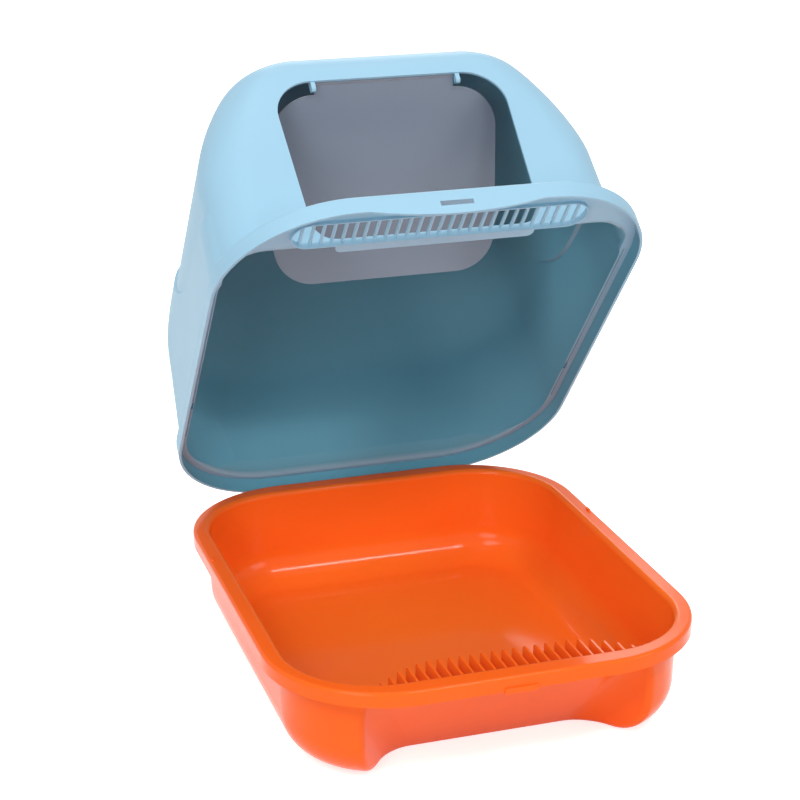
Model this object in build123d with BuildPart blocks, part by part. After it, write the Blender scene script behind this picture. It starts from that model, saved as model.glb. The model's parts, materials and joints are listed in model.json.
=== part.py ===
import os
from math import cos, radians, sin, sqrt
from build123d import *

# Covered litter box: open tray, domed hood hinged to its rear rim, entry flap hung inside the hood.
# Millimetres. The tray stands on z = 0, the entry faces -Y, x = 0 is the plane of symmetry.

# Clearances
RUN_FIT = 0.08
SIDE_PLAY = 0.4
SEAT_GAP = 0.4

# Tray pan
TRAY_H = 95.5
TRAY_WALL = 2.8
PAN_HALF_W = 178.3
PAN_HALF_L = 217.6
PAN_CORNER_R = 85.2
PAN_DRAFT = 0.035
PAN_FOOT_R = 36.3

# Hand-hold recess in the pan's front
RECESS_DEPTH = 62.6
RECESS_HALF_W = 126.0
RECESS_MOUTH_BACK = 11.6
RECESS_SIDE_RUN = 38.0
RECESS_SIDE_RISE = 50.0
RECESS_CORNER_R = 30.0
RECESS_FOOT_R = 6.0
RECESS_PAST = 1.0
OVERRUN = 20.0

# Tray rim with turned-down lip
RIM_OUT_SIDE = 13.7
RIM_OUT_END = 17.65
RIM_CORNER_R = 107.0
LIP_DROP = 13.0
RIM_MOUTH_R = 5.0
RIM_EDGE_R = 3.0

# Fins on the front slope of the pan
FIN_COUNT = 24
FIN_PITCH = 9.6
FIN_T = 2.0
FIN_TOP_DROP = 3.0
FIN_REACH = 40.2
FIN_TIP_R = 4.0
FIN_LEVEL_HALF_W = 60.0
FIN_FALL_BACK = 25.6
FIN_FALL_SPAN = 50.0
FIN_FALL_POWER = 1.7

# Catch lug and locating pegs on the rim
LUG_HALF_W = 14.5
LUG_TOP_DROP = 9.5
LUG_H = 5.0
LUG_OUT = 1.6
PEG_IN = 4.0
PEG_Y = 73.3
PEG_W = 2.0
PEG_L = 8.0
PEG_H = 2.0

# Hood shell
SHELL_WALL = 2.5
SHELL_H = 225.5
SHELL_IN_SIDE = 7.5
SHELL_SHOULDER_Z = 101.7
SHELL_SIDE_INSET = 66.0
SHELL_IN_REAR = 9.25
SHELL_REAR_SLOPE = 0.15
SHELL_REAR_INSET = 80.0
SHELL_CURVE = 1.45
FRONT_BACK = 69.75
FRONT_LEAN = 0.006
FRONT_TOP_R = 30.0
CORNER_FRONT_R = 35.0
CORNER_FRONT_GAIN = 18.0
CORNER_REAR_R = 100.0
CORNER_REAR_LOSS = 20.0
UPRIGHT_STEPS = 6
DOME_TURNS = (0, 13, 21, 29, 37, 45, 53, 61, 70, 80, 90)

# Side bulge of the hood
BULGE_OUT = 7.0
BULGE_DRAW = 4.5
BULGE_SIDE_INSET = 62.0
BULGE_FRONT_BACK = 7.0
BULGE_REAR_BACK = 6.0
BULGE_CORNER_R = 42.0
BULGE_REAR_R = 85.0
BULGE_EDGE = [
    (-12.5, 60),
    (32.5, 66),
    (101.5, 71),
    (150.5, 76),
    (177.5, 86),
    (203.5, 103),
    (227.5, 124),
    (257.5, 157),
    (300.5, 214),
]
BULGE_EDGE_SLOPE = 0.4

# Hood flange, skirt and front tongue
FLANGE_T = 2.5
SKIRT_GAP = 2.0
SKIRT_DROP = 14.0
TONGUE_HALF_W = 76.0
TONGUE_DROP = 8.0
SKIRT_EDGE_R = 3.0
MOUTH_LIP = 3.0
GROOVE_IN = 3.2
GROOVE_W = 1.6
GROOVE_DEPTH = 0.8

# Flare where the dome's foot curves out into the flange
FLARE_RISE = 15.0
FLARE_FRONT = 15.0
FLARE_SIDE = 6.0
FLARE_REAR = 9.5
FLARE_SINK = 0.3
FLARE_TURNS = (0, 15, 30, 45, 60, 75, 90)
SILL_HALF_W = 90.0
SILL_END_R = 12.0

# Openings of the hood
ENTRY_HALF_TOP = 109.0
ENTRY_HALF_FOOT = 103.5
ENTRY_FOOT_Z = 11.8
ENTRY_TOP_Z = 185.4
ENTRY_TOP_R = 37.0
ENTRY_FOOT_R = 22.0
GRILLE_HALF_L = 132.0
GRILLE_AHEAD = 27.9
GRILLE_HALF_W = 15.8
GRILLE_RIM_T = 1.2
GRILLE_RIM_DROP = 3.0
BAR_PITCH = 9.5
BAR_COUNT = 27
BAR_W = 2.2
CATCH_SLOT_TOP_DROP = 8.9
CATCH_SLOT_H = 4.8
PEG_SLOT_W = 3.2
PEG_SLOT_L = 11.0

# Hood hinge behind the rear rim
HINGE_BACK = 10.5
HINGE_DROP = 9.0
KNUCKLE_R = 5.0
KNUCKLE_L = 12.0
BARREL_L = 20.0
HINGE_X = 70.0
HINGE_PIN_R = 1.8
PIN_HEAD_R = 3.0
PIN_HEAD_T = 1.5
ARM_T = 7.0
ARM_UNDER_SKIRT = 1.5
WEB_H = 8.0
OPEN_DEG = 49.25

# Entry flap and its hooks
FLAP_AXIS_BACK = 5.9
FLAP_AXIS_DROP = -1.0
FLAP_T = 1.5
FLAP_HALF_W = 107.7
FLAP_DROP = 186.5
FLAP_SHOULDER_DROP = 10.6
FLAP_FOOT_R = 38.0
FLAP_SHOULDER_R = 40.0
FLAP_TAB_HALF_W = 66.0
FLAP_ROD_R = 1.8
HOOK_W = 4.0
HOOK_R = 3.6
HOOK_HANG = 6.2
HOOK_RISE = 9.5

rim_half_w = PAN_HALF_W + RIM_OUT_SIDE
rim_half_l = PAN_HALF_L + RIM_OUT_END
shell_half_w = rim_half_w - SHELL_IN_SIDE
shell_rear_y = rim_half_l - SHELL_IN_REAR
bulge_half_w = shell_half_w + BULGE_OUT
front_y = FRONT_BACK - rim_half_l
grille_y = front_y - GRILLE_AHEAD
peg_x = rim_half_w - PEG_IN
flap_axis_y = front_y + FLAP_AXIS_BACK
recess_foot_y = RECESS_DEPTH - PAN_HALF_L
recess_mouth_y = RECESS_MOUTH_BACK - PAN_HALF_L
recess_cheek = RECESS_SIDE_RUN / RECESS_SIDE_RISE
hinge_y = rim_half_l + HINGE_BACK
hinge_z = TRAY_H - HINGE_DROP
hood_z = TRAY_H
flange_foot_z = hood_z + SEAT_GAP
flange_top_z = flange_foot_z + FLANGE_T
skirt_foot_z = hood_z - SKIRT_DROP
skirt_half_w = rim_half_w + SKIRT_GAP + SHELL_WALL
skirt_half_l = rim_half_l + SKIRT_GAP + SHELL_WALL
hinge_axis = Axis((0, hinge_y, hinge_z), (1, 0, 0))
barrel_end = BARREL_L / 2
knuckle_start = barrel_end + SIDE_PLAY
flap_closed_z = hood_z + ENTRY_TOP_Z - FLAP_AXIS_DROP
panel_lean = RECESS_DEPTH / TRAY_H


os.makedirs("parts", exist_ok=True)


def rounded_plan(half_w, y_front, y_rear, r_front, r_rear):
    # Outline of a rounded rectangle whose front and rear corners have radii of their own
    with BuildLine() as outline:
        Line((-half_w + r_front, y_front), (half_w - r_front, y_front))
        CenterArc((half_w - r_front, y_front + r_front), r_front, 270, 90)
        Line((half_w, y_front + r_front), (half_w, y_rear - r_rear))
        CenterArc((half_w - r_rear, y_rear - r_rear), r_rear, 0, 90)
        Line((half_w - r_rear, y_rear), (-half_w + r_rear, y_rear))
        CenterArc((-half_w + r_rear, y_rear - r_rear), r_rear, 90, 90)
        Line((-half_w, y_rear - r_rear), (-half_w, y_front + r_front))
        CenterArc((-half_w + r_front, y_front + r_front), r_front, 180, 90)
    make_face(outline.edges())


def rim_plan(outset):
    # Outline of the tray's rim, moved outwards by outset
    rounded_plan(
        rim_half_w + outset,
        -rim_half_l - outset,
        rim_half_l + outset,
        RIM_CORNER_R + outset,
        RIM_CORNER_R + outset,
    )


def pan_block(foot_z, inset):
    # Drafted block of the pan from foot_z up to the rim, its sides moved inwards by inset
    with BuildPart() as block:
        for z in (foot_z, TRAY_H):
            draw = PAN_DRAFT * (TRAY_H - z) + inset
            with BuildSketch(Plane.XY.offset(z)):
                rounded_plan(
                    PAN_HALF_W - draw,
                    draw - PAN_HALF_L,
                    PAN_HALF_L - draw,
                    PAN_CORNER_R - draw,
                    PAN_CORNER_R - draw,
                )
        loft(ruled=True)
    return block.part


def recess_solid(inset):
    # Space under the leaning panel and between the two upright cheeks, grown by inset
    top_z = TRAY_H - RIM_MOUTH_R - TRAY_WALL + inset
    shift = inset * sqrt(1 + panel_lean * panel_lean)
    mouth_x = RECESS_HALF_W + inset * sqrt(1 + recess_cheek * recess_cheek)
    front = -PAN_HALF_L - RECESS_PAST
    ahead = recess_mouth_y - front
    with BuildPart() as recess:
        with BuildSketch(Plane.YZ.offset(-PAN_HALF_W)):
            with BuildLine():
                Polyline(
                    (recess_foot_y + shift - panel_lean * top_z, top_z),
                    (recess_foot_y + shift + panel_lean * OVERRUN, -OVERRUN),
                    (front, -OVERRUN),
                    (front, top_z),
                    close=True,
                )
            make_face()
        extrude(amount=2 * PAN_HALF_W)
        with BuildSketch(Plane.XY.offset(-OVERRUN)):
            with BuildLine():
                Polyline(
                    (-mouth_x - recess_cheek * ahead, front),
                    (mouth_x + recess_cheek * ahead, front),
                    (0, recess_mouth_y + mouth_x / recess_cheek),
                    close=True,
                )
            make_face()
        extrude(amount=TRAY_H + OVERRUN, mode=Mode.INTERSECT)
        corners = [e for e in recess.edges() if abs(e.tangent_at(0.5).X) > 0.1]
        corners = [e for e in corners if abs(e.tangent_at(0.5).Z) > 0.1]
        fillet(corners, radius=RECESS_CORNER_R + inset)
    return recess.part


def pan_solid(inset):
    # Pan with a round foot and the recess taken out, every face moved inwards by inset
    floor_mouth_x = RECESS_HALF_W - (PAN_FOOT_R - RECESS_MOUTH_BACK) * recess_cheek
    with BuildPart() as pan:
        add(pan_block(inset, inset))
        fillet(pan.faces().sort_by(Axis.Z)[0].edges(), radius=PAN_FOOT_R - inset)
        add(recess_solid(inset), mode=Mode.SUBTRACT)
        foot = [e for e in pan.edges() if abs(e.center().Z - inset) < 0.01]
        foot = [e for e in foot if e.center().Y < 0 and abs(e.center().X) < floor_mouth_x]
        fillet(foot, radius=RECESS_FOOT_R)
    return pan.part


def fin_tip(x):
    # Y of a fin's tip: level in the middle, falling back towards the rim at both ends
    past = max(0.0, abs(x) - FIN_LEVEL_HALF_W) / FIN_FALL_SPAN
    return FIN_REACH - PAN_HALF_L - FIN_FALL_BACK * past**FIN_FALL_POWER


# Tray: rim first, hollow below, then the pan's shell hung from it
with BuildPart() as rim:
    with BuildSketch(Plane.XY.offset(TRAY_H - LIP_DROP)):
        rim_plan(0)
    extrude(amount=LIP_DROP)
    fillet(rim.faces().sort_by(Axis.Z)[-1].edges(), radius=RIM_EDGE_R)
    add(pan_block(TRAY_H - LIP_DROP, TRAY_WALL), mode=Mode.SUBTRACT)
    mouth = [e for e in rim.edges() if abs(e.center().Z - TRAY_H) < 0.01]
    mouth = [e for e in mouth if abs(e.center().X) < PAN_HALF_W and abs(e.center().Y) < PAN_HALF_L]
    fillet(mouth, radius=RIM_MOUTH_R)

with BuildPart() as rim_pocket:
    with BuildSketch(Plane.XY.offset(TRAY_H - LIP_DROP)):
        rim_plan(-TRAY_WALL)
    extrude(amount=LIP_DROP - TRAY_WALL)
    add(pan_block(TRAY_H - LIP_DROP, 0), mode=Mode.SUBTRACT)

with BuildPart() as pan_shell:
    add(pan_solid(0))
    add(pan_solid(TRAY_WALL), mode=Mode.SUBTRACT)
    split(bisect_by=Plane.XY.offset(TRAY_H - RIM_MOUTH_R), keep=Keep.BOTTOM)

with BuildPart() as fins:
    # Fins stand on the leaning panel and reach into the rim's inner wall
    mid_wall = TRAY_WALL / 2
    fin_root_y = mid_wall - PAN_HALF_L
    panel_mid_y = fin_root_y + mid_wall * (sqrt(1 + panel_lean * panel_lean) - 1)
    ledge_drop = RIM_MOUTH_R + mid_wall
    low_drop = ledge_drop + TRAY_WALL
    for i in range(FIN_COUNT):
        x = (i - (FIN_COUNT - 1) / 2) * FIN_PITCH
        tip = fin_tip(x)
        with BuildSketch(Plane.YZ.offset(x - FIN_T / 2)) as fin:
            with BuildLine():
                Polyline(
                    (fin_root_y, TRAY_H - FIN_TOP_DROP),
                    (tip, TRAY_H - FIN_TOP_DROP),
                    (tip, TRAY_H - (tip - panel_mid_y) / panel_lean),
                    (panel_mid_y + panel_lean * low_drop, TRAY_H - low_drop),
                    (panel_mid_y + panel_lean * ledge_drop, TRAY_H - ledge_drop),
                    (fin_root_y, TRAY_H - ledge_drop),
                    close=True,
                )
            make_face()
            fillet(fin.vertices().sort_by(Axis.Y)[-2:].sort_by(Axis.X)[-1], radius=FIN_TIP_R)
        extrude(amount=FIN_T)

with BuildPart() as tray:
    add(rim.part)
    add(rim_pocket.part, mode=Mode.SUBTRACT)
    add(recess_solid(0), mode=Mode.SUBTRACT)
    add(pan_shell.part)
    add(fins.part)
    # Catch lug on the lip and pegs on the side rims
    with BuildSketch(Plane.XY.offset(TRAY_H - LUG_TOP_DROP - LUG_H)):
        with Locations((0, -rim_half_l + (TRAY_WALL - LUG_OUT) / 2)):
            Rectangle(2 * LUG_HALF_W, TRAY_WALL + LUG_OUT)
    extrude(amount=LUG_H)
    with BuildSketch(Plane.XY.offset(TRAY_H - TRAY_WALL / 2)):
        with Locations((-peg_x, PEG_Y), (peg_x, PEG_Y)):
            SlotOverall(PEG_L, PEG_W, rotation=90)
    extrude(amount=PEG_H + TRAY_WALL / 2)
    # Hinge arms run out below the skirt and rise behind it to the knuckles
    arm_top_z = skirt_foot_z - ARM_UNDER_SKIRT
    for side in (-1, 1):
        for end in (-1, 1):
            x = side * HINGE_X + end * (knuckle_start + KNUCKLE_L / 2)
            with BuildSketch(Plane.YZ.offset(x - KNUCKLE_L / 2)):
                with BuildLine():
                    Polyline(
                        (PAN_HALF_L - TRAY_WALL, arm_top_z - ARM_T),
                        (hinge_y + KNUCKLE_R, arm_top_z - ARM_T),
                        (hinge_y + KNUCKLE_R, hinge_z),
                        (hinge_y - KNUCKLE_R, hinge_z),
                        (hinge_y - KNUCKLE_R, arm_top_z),
                        (PAN_HALF_L - TRAY_WALL, arm_top_z),
                        close=True,
                    )
                make_face()
                with Locations((hinge_y, hinge_z)):
                    Circle(KNUCKLE_R)
                    Circle(HINGE_PIN_R, mode=Mode.SUBTRACT)
            extrude(amount=KNUCKLE_L)
tray.part.label = "tray"
export_step(tray.part, "parts/tray.step")


def curve_in(z, inset):
    # Share of the way in that the domed sides have gone at height z: 0 upright, 1 at the flat roof
    shoulder = hood_z + SHELL_SHOULDER_Z
    rise = SHELL_H - SHELL_SHOULDER_Z - inset
    share = min(max((z - shoulder) / rise, 0.0), 1.0)
    return 1 - (1 - share**SHELL_CURVE) ** (1 / SHELL_CURVE)


def front_at(z, inset):
    # Y of the front wall: leaning plane below, quarter round into the roof above
    round_z = hood_z + SHELL_H - FRONT_TOP_R
    lean_y = front_y + FRONT_LEAN * (min(z, round_z) - hood_z) + inset
    if z <= round_z:
        return lean_y
    reach = FRONT_TOP_R - inset
    up = min(z - round_z, reach)
    return lean_y + reach - sqrt(reach**2 - up**2)


def shell_plan(z, inset):
    # Level section of the hood's dome
    inwards = curve_in(z, inset)
    up = z - hood_z
    rounded_plan(
        shell_half_w - inset - SHELL_SIDE_INSET * inwards,
        front_at(z, inset),
        shell_rear_y - inset - SHELL_REAR_SLOPE * up - SHELL_REAR_INSET * inwards,
        CORNER_FRONT_R - inset + CORNER_FRONT_GAIN * up / SHELL_H,
        CORNER_REAR_R - inset - CORNER_REAR_LOSS * up / SHELL_H,
    )


def bulge_plan(z, inset):
    # Level section of the side bulges, sunk into the dome at the front and the rear
    inwards = curve_in(z, inset)
    up = z - hood_z
    draw = BULGE_DRAW * min(up / SHELL_SHOULDER_Z, 1.0)
    rounded_plan(
        bulge_half_w - inset - draw - BULGE_SIDE_INSET * inwards,
        front_y + inset + BULGE_FRONT_BACK,
        shell_rear_y - inset - BULGE_REAR_BACK - SHELL_REAR_SLOPE * up - SHELL_REAR_INSET * inwards,
        BULGE_CORNER_R - inset,
        BULGE_REAR_R - inset,
    )


def dome_levels(inset, foot_z, turns):
    # Heights of the sections: even steps up to the shoulder, then even turns over into the roof
    shoulder = hood_z + SHELL_SHOULDER_Z
    rise = SHELL_H - SHELL_SHOULDER_Z - inset
    upright = [foot_z + (shoulder - foot_z) * i / UPRIGHT_STEPS for i in range(UPRIGHT_STEPS)]
    return upright + [shoulder + rise * sin(radians(t)) ** (2 / SHELL_CURVE) for t in turns]


def dome_solid(inset, foot_z):
    with BuildPart() as dome:
        for z in dome_levels(inset, foot_z, DOME_TURNS):
            with BuildSketch(Plane.XY.offset(z)):
                shell_plan(z, inset)
        loft()
    return dome.part


def bulge_solid(inset, foot_z):
    # Side bulges, closed above by the slanting edge that rises towards the rear
    shift = inset / sqrt(2)
    crest = BULGE_EDGE_SLOPE * bulge_half_w
    with BuildPart() as under_edge:
        for x, lift in ((-bulge_half_w, 0), (0, crest), (bulge_half_w, 0)):
            with BuildSketch(Plane.YZ.offset(x)):
                with BuildLine():
                    rise = hood_z + lift - shift
                    edge = Spline(*[(front_y + y + shift, rise + z) for y, z in BULGE_EDGE])
                    rear_top = (shell_rear_y, (edge @ 1).Y)
                    Polyline(edge @ 1, rear_top, (shell_rear_y, foot_z), ((edge @ 0).X, foot_z), edge @ 0)
                make_face()
        loft(ruled=True)
    with BuildPart() as bulge:
        for z in dome_levels(inset, foot_z, DOME_TURNS[:-2]):
            with BuildSketch(Plane.XY.offset(z)):
                bulge_plan(z, inset)
        loft()
        add(under_edge.part, mode=Mode.INTERSECT)
    return bulge.part


def flare_solid(inset, side, rear):
    # Foot of the dome, curving out by side, FLARE_FRONT and rear until it sinks into the flange
    depth = inset + FLARE_SINK
    with BuildPart() as flare:
        for turn in FLARE_TURNS:
            z = flange_top_z - depth + (FLARE_RISE + depth) * (1 - cos(radians(turn)))
            out = 1 - sin(radians(turn))
            up = z - hood_z
            with BuildSketch(Plane.XY.offset(z)):
                rounded_plan(
                    shell_half_w - depth + (side + depth) * out,
                    front_y + depth - (FLARE_FRONT + depth) * out,
                    shell_rear_y - depth - SHELL_REAR_SLOPE * up + (rear + depth) * out,
                    CORNER_FRONT_R - depth + (side + depth) * out,
                    CORNER_REAR_R - depth + (side + depth) * out,
                )
        loft()
    return flare.part


# Space under the flare, open below but for the flat sill in front of the entry
mouth_half_w = bulge_half_w - SHELL_WALL - MOUTH_LIP
with BuildPart() as flare_space:
    add(flare_solid(SHELL_WALL, mouth_half_w - MOUTH_LIP / 2 - shell_half_w, FLARE_REAR))
    with BuildPart(mode=Mode.SUBTRACT) as sill:
        sill_front_y = front_y - FLARE_FRONT - SHELL_WALL
        sill_rear_y = front_y + SHELL_WALL
        with BuildSketch(Plane.XY.offset(flange_foot_z)):
            with Locations((0, (sill_front_y + sill_rear_y) / 2)):
                RectangleRounded(2 * SILL_HALF_W, sill_rear_y - sill_front_y, SILL_END_R / 2)
        extrude(amount=FLARE_RISE + SHELL_WALL)


# Hood, drawn closed over the tray and then swung open about its hinge
with BuildPart() as closed_hood:
    with BuildSketch(Plane.XY.offset(skirt_foot_z)):
        rim_plan(SKIRT_GAP + SHELL_WALL)
    extrude(amount=flange_top_z - skirt_foot_z)
    fillet(closed_hood.faces().sort_by(Axis.Z)[-1].edges(), radius=SKIRT_EDGE_R)
    with BuildSketch(Plane.XY.offset(skirt_foot_z)):
        rim_plan(SKIRT_GAP)
    extrude(amount=flange_foot_z - skirt_foot_z, mode=Mode.SUBTRACT)
    # Front tongue: the skirt's foot dips in a shallow arc
    with BuildSketch(Plane.XZ.offset(rim_half_l + SKIRT_GAP)):
        with BuildLine():
            dip = ThreePointArc(
                (-TONGUE_HALF_W, skirt_foot_z), (0, skirt_foot_z - TONGUE_DROP), (TONGUE_HALF_W, skirt_foot_z)
            )
            Line(dip @ 1, dip @ 0)
        make_face()
    extrude(amount=SHELL_WALL)
    add(flare_solid(0, FLARE_SIDE, FLARE_REAR))
    add(bulge_solid(0, flange_foot_z + FLANGE_T / 2))
    add(dome_solid(0, flange_foot_z))
    add(dome_solid(SHELL_WALL, flange_foot_z - SEAT_GAP), mode=Mode.SUBTRACT)
    add(bulge_solid(SHELL_WALL, flange_top_z), mode=Mode.SUBTRACT)
    # Mouth of the hood and the grooves under its side flanges
    with BuildSketch(Plane.XY.offset(flange_foot_z)):
        bulge_plan(hood_z, SHELL_WALL + MOUTH_LIP)
    extrude(amount=FLANGE_T, mode=Mode.SUBTRACT)
    add(flare_space.part, mode=Mode.SUBTRACT)
    groove_x = rim_half_w - GROOVE_IN - GROOVE_W / 2
    with BuildSketch(Plane.XY.offset(flange_foot_z)):
        with Locations((-groove_x, 0), (groove_x, 0)):
            Rectangle(GROOVE_W, 2 * (rim_half_l - RIM_CORNER_R))
    extrude(amount=GROOVE_DEPTH, mode=Mode.SUBTRACT)
    # Entry opening in the front wall
    with BuildSketch(Plane.XZ.offset(-front_y - FRONT_TOP_R)) as entry:
        with BuildLine():
            Polyline(
                (-ENTRY_HALF_FOOT, hood_z + ENTRY_FOOT_Z),
                (ENTRY_HALF_FOOT, hood_z + ENTRY_FOOT_Z),
                (ENTRY_HALF_TOP, hood_z + ENTRY_TOP_Z),
                (-ENTRY_HALF_TOP, hood_z + ENTRY_TOP_Z),
                close=True,
            )
        make_face()
        fillet(entry.vertices().sort_by(Axis.Y)[:2], radius=ENTRY_FOOT_R)
        fillet(entry.vertices().sort_by(Axis.Y)[-2:], radius=ENTRY_TOP_R)
    extrude(amount=2 * FRONT_TOP_R, mode=Mode.SUBTRACT)
    # Grille: hanging rim of the oval, then the slots between its bars
    with BuildSketch(Plane.XY.offset(flange_top_z)):
        with Locations((0, grille_y)):
            SlotOverall(2 * (GRILLE_HALF_L + GRILLE_RIM_T), 2 * (GRILLE_HALF_W + GRILLE_RIM_T))
            SlotOverall(2 * GRILLE_HALF_L, 2 * GRILLE_HALF_W, mode=Mode.SUBTRACT)
    extrude(amount=-FLANGE_T - GRILLE_RIM_DROP)
    with BuildSketch(Plane.XY.offset(flange_foot_z)):
        with Locations((0, grille_y)):
            SlotOverall(2 * GRILLE_HALF_L, 2 * GRILLE_HALF_W)
            with GridLocations(BAR_PITCH, 0, BAR_COUNT, 1):
                Rectangle(BAR_W, 2 * GRILLE_HALF_W, mode=Mode.SUBTRACT)
    extrude(amount=FLANGE_T + GRILLE_RIM_T, mode=Mode.SUBTRACT)
    # Catch slot in the tongue and slots over the rim's pegs
    with BuildSketch(Plane.XZ.offset(rim_half_l)):
        with Locations((0, hood_z - CATCH_SLOT_TOP_DROP - CATCH_SLOT_H / 2)):
            Rectangle(2 * LUG_HALF_W, CATCH_SLOT_H)
    extrude(amount=2 * (SKIRT_GAP + SHELL_WALL), mode=Mode.SUBTRACT)
    with BuildSketch(Plane.XY.offset(flange_foot_z)):
        with Locations((-peg_x, PEG_Y), (peg_x, PEG_Y)):
            SlotOverall(PEG_SLOT_L, PEG_SLOT_W, rotation=90)
    extrude(amount=FLANGE_T, mode=Mode.SUBTRACT)
    # Hooks that hang from the wall above the entry and hold the flap's rod
    hook_top_z = hood_z + ENTRY_TOP_Z + HOOK_RISE
    hook_front_y = front_y + FRONT_LEAN * ENTRY_TOP_Z + SHELL_WALL / 2
    for side in (-1, 1):
        x = side * (FLAP_TAB_HALF_W + SIDE_PLAY + HOOK_W / 2)
        with BuildSketch(Plane.YZ.offset(x - HOOK_W / 2)):
            with BuildLine():
                Polyline(
                    (hook_front_y, flap_closed_z),
                    (flap_axis_y + HOOK_R, flap_closed_z),
                    (flap_axis_y + HOOK_R, hook_top_z - HOOK_R),
                    (hook_front_y, hook_top_z),
                    close=True,
                )
            make_face()
            with Locations((flap_axis_y, flap_closed_z - HOOK_HANG / 2)):
                SlotCenterToCenter(HOOK_HANG, 2 * HOOK_R, rotation=90)
            with Locations((flap_axis_y, flap_closed_z)):
                Circle(FLAP_ROD_R + RUN_FIT, mode=Mode.SUBTRACT)
        extrude(amount=HOOK_W)
    # Hinge barrels on the rear of the skirt
    web_y = rim_half_l + SKIRT_GAP + SHELL_WALL / 2
    for side in (-1, 1):
        with BuildSketch(Plane.YZ.offset(side * HINGE_X - barrel_end)):
            with Locations(((web_y + hinge_y) / 2, hinge_z)):
                Rectangle(hinge_y - web_y, WEB_H)
            with Locations((hinge_y, hinge_z)):
                Circle(KNUCKLE_R)
                Circle(HINGE_PIN_R + RUN_FIT, mode=Mode.SUBTRACT)
        extrude(amount=BARREL_L)

with BuildPart() as hood:
    add(closed_hood.part.rotate(hinge_axis, -OPEN_DEG))
hood.part.label = "hood"
export_step(hood.part, "parts/hood.step")


# Entry flap, hanging plumb from its rod while the hood stands open
swing = radians(OPEN_DEG)
axis_dy = flap_axis_y - hinge_y
axis_dz = flap_closed_z - hinge_z
flap_y = hinge_y + axis_dy * cos(swing) + axis_dz * sin(swing)
flap_z = hinge_z - axis_dy * sin(swing) + axis_dz * cos(swing)
flap_h = FLAP_DROP - FLAP_SHOULDER_DROP
rod_half = FLAP_TAB_HALF_W + SIDE_PLAY + HOOK_W + SIDE_PLAY

with BuildPart() as entry_flap:
    with BuildSketch(Plane.XZ.offset(-flap_y - FLAP_T / 2)) as leaf:
        with Locations((0, flap_z - FLAP_SHOULDER_DROP - flap_h / 2)):
            Rectangle(2 * FLAP_HALF_W, flap_h)
        fillet(leaf.vertices().sort_by(Axis.Y)[:2], radius=FLAP_FOOT_R)
        fillet(leaf.vertices().sort_by(Axis.Y)[-2:], radius=FLAP_SHOULDER_R)
        with Locations((0, flap_z - FLAP_SHOULDER_DROP)):
            Rectangle(2 * FLAP_TAB_HALF_W, 2 * FLAP_SHOULDER_DROP)
    extrude(amount=FLAP_T)
    with BuildSketch(Plane.YZ.offset(-rod_half)):
        with Locations((flap_y, flap_z)):
            Circle(FLAP_ROD_R)
    extrude(amount=2 * rod_half)
entry_flap.part.label = "entry_flap"
export_step(entry_flap.part, "parts/entry_flap.step")


def hinge_pin(side):
    # Headed pin through two knuckles and the barrel between them, head on the outer side
    reach = knuckle_start + KNUCKLE_L
    with BuildPart() as pin:
        with BuildSketch(Plane.YZ.offset(side * HINGE_X - reach)):
            with Locations((hinge_y, hinge_z)):
                Circle(HINGE_PIN_R)
        extrude(amount=2 * reach)
        with BuildSketch(Plane.YZ.offset(side * (HINGE_X + reach))):
            with Locations((hinge_y, hinge_z)):
                Circle(PIN_HEAD_R)
        extrude(amount=side * PIN_HEAD_T)
    return pin.part


with BuildPart() as hinge_pin_left:
    add(hinge_pin(-1))
hinge_pin_left.part.label = "hinge_pin_left"
export_step(hinge_pin_left.part, "parts/hinge_pin_left.step")

with BuildPart() as hinge_pin_right:
    add(hinge_pin(1))
hinge_pin_right.part.label = "hinge_pin_right"
export_step(hinge_pin_right.part, "parts/hinge_pin_right.step")
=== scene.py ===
import bpy
import bmesh
import json
from math import radians
from mathutils import Euler, Matrix, Vector


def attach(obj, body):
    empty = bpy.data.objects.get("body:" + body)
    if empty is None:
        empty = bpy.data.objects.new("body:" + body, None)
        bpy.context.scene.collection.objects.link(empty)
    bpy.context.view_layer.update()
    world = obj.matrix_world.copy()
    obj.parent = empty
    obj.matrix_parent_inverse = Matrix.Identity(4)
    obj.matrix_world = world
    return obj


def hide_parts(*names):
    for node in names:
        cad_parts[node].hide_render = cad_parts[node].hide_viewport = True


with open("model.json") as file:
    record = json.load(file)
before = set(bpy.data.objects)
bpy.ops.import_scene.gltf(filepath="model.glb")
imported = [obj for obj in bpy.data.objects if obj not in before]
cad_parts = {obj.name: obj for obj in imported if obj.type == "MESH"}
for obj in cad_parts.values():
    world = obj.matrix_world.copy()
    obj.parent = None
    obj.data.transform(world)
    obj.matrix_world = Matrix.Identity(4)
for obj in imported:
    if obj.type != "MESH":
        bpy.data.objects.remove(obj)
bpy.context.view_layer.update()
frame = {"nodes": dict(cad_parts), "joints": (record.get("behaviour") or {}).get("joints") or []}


# Tray: a deep pan moulded in one piece of glossy orange polypropylene, with its turned-down
# rim, the row of upright fins inside the front and the pegs that the hood drops over.
# The polished mould leaves a faint ripple; scooping has left fine scuffs on the floor.


class Wire:
    """One output of a node, which takes part in arithmetic."""

    def __init__(self, bench, socket):
        self.bench = bench
        self.socket = socket

    def _sum(self, operation, *terms):
        return self.bench.node("ShaderNodeMath", {"operation": operation}, *terms)

    def __add__(self, other):
        return self._sum("ADD", self, other)

    def __radd__(self, other):
        return self._sum("ADD", other, self)

    def __mul__(self, other):
        return self._sum("MULTIPLY", self, other)

    def __rmul__(self, other):
        return self._sum("MULTIPLY", other, self)

    def __getitem__(self, name):
        return Wire(self.bench, self.socket.node.outputs[name])


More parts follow.
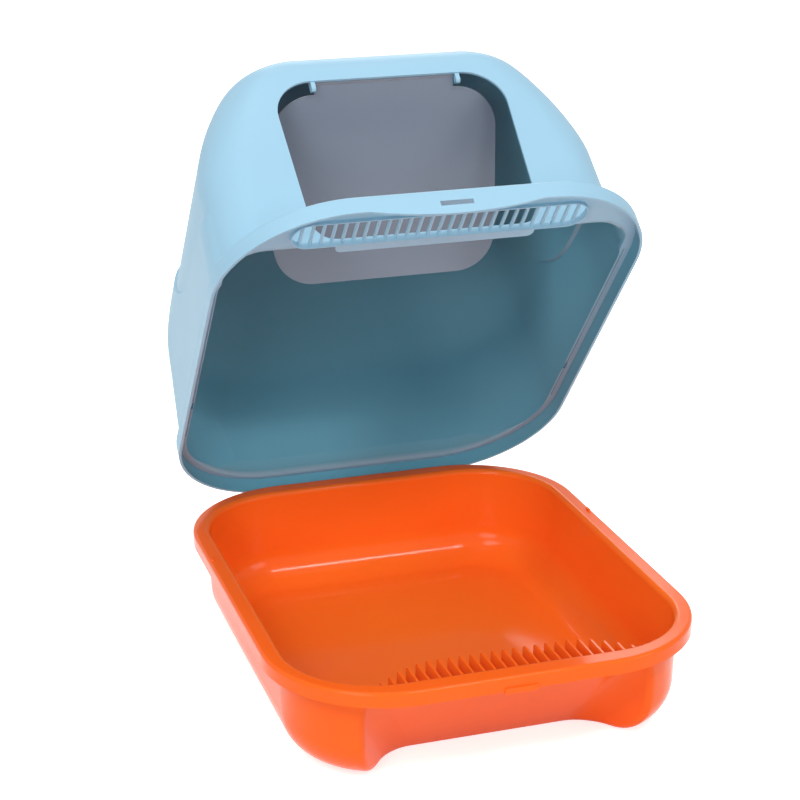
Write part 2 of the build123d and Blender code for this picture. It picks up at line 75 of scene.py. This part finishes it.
class Bench:
    """A node tree, with the methods that add nodes to it."""

    def __init__(self, tree):
        self.tree = tree

    def feed(self, socket, value):
        if isinstance(value, Wire):
            self.tree.links.new(value.socket, socket)
        elif isinstance(value, tuple) and len(value) == 3 and socket.type == "RGBA":
            socket.default_value = (*value, 1)
        else:
            socket.default_value = value

    def node(self, kind, settings, *values, **named):
        made = self.tree.nodes.new(kind)
        for key, value in settings.items():
            if key == "stops":
                ramp = made.color_ramp
                while len(ramp.elements) < len(value):
                    ramp.elements.new(1.0)
                for element, (position, tone) in zip(ramp.elements, value):
                    element.position = position
                    element.color = (tone, tone, tone, 1)
            else:
                setattr(made, key, value)
        for socket, value in zip(made.inputs, values):
            self.feed(socket, value)
        for key, value in named.items():
            self.feed(made.inputs[key.replace("_", " ")], value)
        return Wire(self, made.outputs[0])

    def blend(self, share, first, second):
        mixed = self.tree.nodes.new("ShaderNodeMix")
        mixed.data_type = "RGBA"
        self.feed(mixed.inputs[0], share)
        self.feed(mixed.inputs[6], first)
        self.feed(mixed.inputs[7], second)
        return Wire(self, mixed.outputs[2])


class Finish(Bench):
    """A material whose surface is one Principled shader."""

    def __init__(self, name, colour, roughness, **settings):
        self.material = bpy.data.materials.new(name)
        self.material.use_nodes = True
        super().__init__(self.material.node_tree)
        self.surface = self.tree.nodes["Principled BSDF"]
        self.set(Base_Color=colour, Roughness=roughness, **settings)
        self.place = self.node("ShaderNodeTexCoord", {})["Object"]

    def set(self, **sockets):
        for key, value in sockets.items():
            self.feed(self.surface.inputs[key.replace("_", " ")], value)

    def grain(self, size, detail=2.0, roughness=0.5, stretch=(1, 1, 1)):
        """Noise whose blotches are about size metres across."""
        there = self.node(
            "ShaderNodeMapping", {}, Vector=self.place, Scale=tuple(s / size for s in stretch)
        )
        return self.node(
            "ShaderNodeTexNoise", {}, Vector=there, Scale=1.0, Detail=detail, Roughness=roughness
        )

    def ramp(self, value, *stops):
        return self.node("ShaderNodeValToRGB", {"stops": stops}, value)

    def drawn(self, name):
        """A float attribute of the piece that wears this finish."""
        return self.node("ShaderNodeAttribute", {"attribute_name": name})["Fac"]

    def bump(self, height, depth, strength=1.0):
        made = self.node("ShaderNodeBump", {}, Strength=strength, Distance=depth, Height=height)
        self.set(Normal=made)


merge_reach = 1e-6


def merged_copy(node, body):
    """A copy of a CAD node, its loose triangles joined and its normals kept, that stands for it."""
    mesh = frame["nodes"][node].data.copy()
    kept = mesh.attributes.new("kept_normal", "FLOAT_VECTOR", "CORNER")
    for corner, store in zip(mesh.corner_normals, kept.data):
        store.vector = corner.vector
    shape = bmesh.new()
    shape.from_mesh(mesh)
    bmesh.ops.remove_doubles(shape, verts=shape.verts, dist=merge_reach)
    shape.to_mesh(mesh)
    shape.free()
    normals = [store.vector.copy() for store in mesh.attributes["kept_normal"].data]
    mesh.normals_split_custom_set(normals)
    mesh.attributes.remove(mesh.attributes["kept_normal"])
    piece = bpy.data.objects.new(node + "_moulding", mesh)
    bpy.context.scene.collection.objects.link(piece)
    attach(piece, body)
    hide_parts(node)
    return piece


def draw_on(piece, name, rule):
    """Keeps rule(place, normal) at every corner of a piece's faces, as a float attribute."""
    mesh = piece.data
    drawn = mesh.attributes.new(name, "FLOAT", "CORNER")
    for corner, turned, share in zip(mesh.loops, mesh.corner_normals, drawn.data):
        share.value = rule(mesh.vertices[corner.vertex_index].co, turned.vector)


def dress(piece, finish):
    piece.data.materials.clear()
    piece.data.materials.append(finish.material)


tray_heart = Vector((0.0, 0.0, 0.085))
tray_turn = 0.04
fin_row_half = 0.12
nearly_square = 0.9


def painted_light_inside(place, normal):
    """How far the tray's surface faces its inside, which sets where painted light goes: 1 and above
    is wholly inside, as the fins are.
    """
    if abs(normal.x) > nearly_square and abs(place.x) < fin_row_half:
        return 1.0
    return normal.dot(tray_heart - place) / tray_turn


tray = merged_copy("tray", "base")
draw_on(tray, "inner_side", painted_light_inside)

orange = Finish("orange_moulding", (0.98, 0.125, 0.006), 0.16, Specular_IOR_Level=0.14)
orange_cloud = orange.grain(0.09, 2.0)
orange_fleck = orange.grain(0.0016, 3.0, 0.7)
orange_shade = orange_cloud * 0.55 + orange_fleck * 0.12
orange_outer = orange.blend(orange_shade, (1.0, 0.14, 0.01), (0.98, 0.115, 0.008))
# Painted light: inside faces and the fins are painted a lighter, yellower orange than the outside,
# standing in for light bouncing round the pan.
orange_painted_inner_light = orange.blend(orange_shade, (1.0, 0.175, 0.018), (0.99, 0.147, 0.015))
orange_painted_light_share = orange.ramp(orange.drawn("inner_side"), (0.0, 0.0), (1.0, 1.0))
orange_streak = orange.grain(0.006, 4.0, 0.65, (0.16, 1.0, 1.0))
orange_scuff = orange.ramp(orange_streak, (0.56, 0.0), (0.7, 1.0))
orange_depth = orange.node("ShaderNodeSeparateXYZ", {}, orange.place)["Z"]
floor_fade = 0.1
orange_floor = orange.ramp(orange_depth * (1 / floor_fade), (0.03, 1.0), (0.45, 0.0))
orange.set(
    Base_Color=orange.blend(orange_painted_light_share, orange_outer, orange_painted_inner_light),
    Roughness=0.11 + orange_cloud * 0.05 + orange_scuff * orange_floor * 0.07,
)
orange.bump(orange.grain(0.014, 1.0) + orange_fleck * 0.03, 0.0001, 0.3)
dress(tray, orange)


# Hood: one large light-blue moulding with a satin, finely grained outside. The dome, the side
# bulges, the flange with its slotted ledge and the skirt are all walls of the same thickness.
# The inside is painted a deeper, darker teal: painted shade standing in for the shade inside the
# shell.

hood_heart = Vector((0.0, 0.1885, 0.3352))
hood_swing = next(joint for joint in frame["joints"] if joint["name"] == "hood_swing")
hinge_line = Vector(hood_swing["pos_m"])
closing = Matrix.Rotation(radians(hood_swing["range_deg"][1]), 3, "X")
ledge_front = -0.236
ledge_back = -0.163
ledge_half = 0.193


def inward(place, normal):
    """How squarely the hood's surface faces the middle of the space inside, which sets where painted
    shade goes, or -1 on the ledge.
    """
    closed = closing @ (place - hinge_line) + hinge_line
    if ledge_front < closed.y < ledge_back and abs(closed.x) < ledge_half:
        return -1.0
    return normal.dot((hood_heart - place).normalized())


hood = merged_copy("hood", "cover")
draw_on(hood, "inward", inward)

blue = Finish("pale_blue_moulding", (0.32, 0.54, 0.68), 0.42, Specular_IOR_Level=0.3)
blue_cloud = blue.grain(0.14, 2.0)
blue_grain = blue.grain(0.0009, 2.0, 0.6)
blue_painted_inner_shade = blue.ramp(blue.drawn("inward"), (0.0, 0.0), (0.35, 1.0))
blue_shade = blue_cloud * 0.7 + blue_grain * 0.1
blue_outer = blue.blend(blue_shade, (0.335, 0.56, 0.705), (0.3, 0.515, 0.66))
blue.set(
    # Painted shade: faces turned into the shell are painted a dark teal, standing in for the shade
    # inside the hood.
    Base_Color=blue.blend(blue_painted_inner_shade, blue_outer, (0.115, 0.34, 0.45)),
    Roughness=0.36 + blue_cloud * 0.08 + blue_grain * 0.08 + blue_painted_inner_shade * 0.22,
)
blue.bump(blue_grain + blue.grain(0.02, 1.0) * 1.5, 0.00006, 0.5)
dress(hood, blue)


# Entry flap: a stiff smoke-grey sheet, cut to shape, with a rod along its top that clicks into
# the hood's two hooks. Its cut edge is painted paler than its faces, a painted highlight where light
# gathers in the edge.

flap = merged_copy("entry_flap", "flap")
draw_on(flap, "cut_edge", lambda place, normal: 1 - abs(normal.y))

smoke = Finish("smoke_sheet", (0.17, 0.2, 0.26), 0.25)
smoke_painted_edge_highlight = smoke.drawn("cut_edge")
smoke_cloud = smoke.grain(0.12, 2.0)
smoke_face = smoke.blend(smoke_cloud, (0.2, 0.24, 0.3), (0.17, 0.205, 0.265))
smoke.set(
    # Painted highlight: the cut edge is painted pale grey and made more opaque than the faces.
    Base_Color=smoke.blend(smoke_painted_edge_highlight, smoke_face, (0.7, 0.7, 0.72)),
    Roughness=0.26 + smoke_cloud * 0.06,
    Alpha=0.88 + smoke_painted_edge_highlight * 0.12,
)
smoke.bump(smoke.grain(0.03, 1.0), 0.00006, 0.2)
dress(flap, smoke)


# Hinge pins: two short headed pins of pale grey nylon that join the hood's barrels to the
# tray's knuckles behind the rear rim.

nylon = Finish("grey_nylon", (0.62, 0.62, 0.61), 0.4)
nylon_mottle = nylon.grain(0.002, 2.0)
nylon.set(
    Base_Color=nylon.blend(nylon_mottle, (0.66, 0.66, 0.65), (0.56, 0.56, 0.56)),
    Roughness=0.34 + nylon_mottle * 0.14,
)
nylon.bump(nylon_mottle, 0.00003, 0.4)
for pin in ("hinge_pin_left", "hinge_pin_right"):
    for slot in frame["nodes"][pin].material_slots:
        slot.material = nylon.material


# Studio: a white sweep that the camera sees as plain white apart from the object's own shadow,
# a pale sky of the same white, and six soft lamps.


def seen_white(bench):
    """1 for a ray that sees the background: a camera, glossy or transmission ray."""
    rays = bench.node("ShaderNodeLightPath", {})
    seen = rays["Is Camera Ray"] + rays["Is Glossy Ray"] + rays["Is Transmission Ray"]
    return bench.node("ShaderNodeMath", {"operation": "MINIMUM"}, seen, 1.0)


floor_front = -6
floor_back = 8
floor_half_w = 6
floor_half_l = (floor_back - floor_front) / 2
floor_middle = Matrix.Translation((0, (floor_front + floor_back) / 2, 0))
floor_stretch = Matrix.Diagonal((floor_half_w, floor_half_l, 1, 1))
sheet = bmesh.new()
bmesh.ops.create_grid(
    sheet, x_segments=1, y_segments=1, size=1, matrix=floor_middle @ floor_stretch
)
ground = bpy.data.meshes.new("floor")
sheet.to_mesh(ground)
sheet.free()
floor = bpy.data.objects.new("floor", ground)
bpy.context.scene.collection.objects.link(floor)
sweep = Finish("white_sweep", (0.9, 0.9, 0.9), 0.6, Emission_Strength=1.0)
sweep_seen = seen_white(sweep)
sweep_paper = sweep.blend(sweep.grain(0.4, 2.0), (0.93, 0.93, 0.93), (0.9, 0.9, 0.9))
sweep.set(
    Base_Color=sweep.blend(sweep_seen, (0.8, 0.8, 0.8), sweep_paper),
    Emission_Color=sweep.blend(sweep_seen, (0.0, 0.0, 0.0), (0.65, 0.65, 0.65)),
)
dress(floor, sweep)

world = bpy.data.worlds.new("studio")
bpy.context.scene.world = world
world.use_nodes = True
sky = Bench(world.node_tree)
sky_light = sky.blend(seen_white(sky), (0.32, 0.33, 0.345), (1.0, 1.0, 1.0))
sky.feed(world.node_tree.nodes["Background"].inputs["Color"], sky_light)


def soft_lamp(name, place, aim, width, height, power):
    lamp = bpy.data.lights.new(name, "AREA")
    lamp.shape = "RECTANGLE"
    lamp.size = width
    lamp.size_y = height
    lamp.energy = power
    holder = bpy.data.objects.new(name, lamp)
    holder.location = place
    holder.rotation_euler = (Vector(aim) - Vector(place)).to_track_quat("-Z", "Y").to_euler()
    bpy.context.scene.collection.objects.link(holder)


soft_lamp("key_lamp", (-2.0, -1.7, 2.9), (0, 0, 0.3), 1.4, 1.4, 50)
soft_lamp("strip_lamp", (0.9, -2.0, 3.1), (0, 0, 0.3), 0.7, 0.4, 30)
soft_lamp("side_lamp", (2.0, -2.0, 1.2), (0, 0, 0.1), 1.2, 0.8, 14)
soft_lamp("low_lamp", (-1.7, -2.2, 1.0), (0, 0, 0.1), 1.2, 0.8, 18)
soft_lamp("top_lamp", (0.1, 0.4, 2.6), (0, 0, 0.2), 1.6, 1.6, 10)
soft_lamp("back_lamp", (0.7, 2.6, 1.9), (0, 0.2, 0.3), 1.6, 1.2, 16)


# Camera: a long lens a little left of the entry and looking slightly down, as in the photograph.

lens = bpy.data.cameras.new("camera")
lens.lens = 89.493
lens.sensor_width = 36
lens.clip_end = 30
camera = bpy.data.objects.new("camera", lens)
camera.location = (-0.532391, -1.59143, 0.840663)
camera.rotation_euler = Euler((1.235104, 0.00611, -0.309123))
bpy.context.scene.collection.objects.link(camera)
bpy.context.scene.camera = camera
bpy.context.scene.view_settings.view_transform = "Standard"
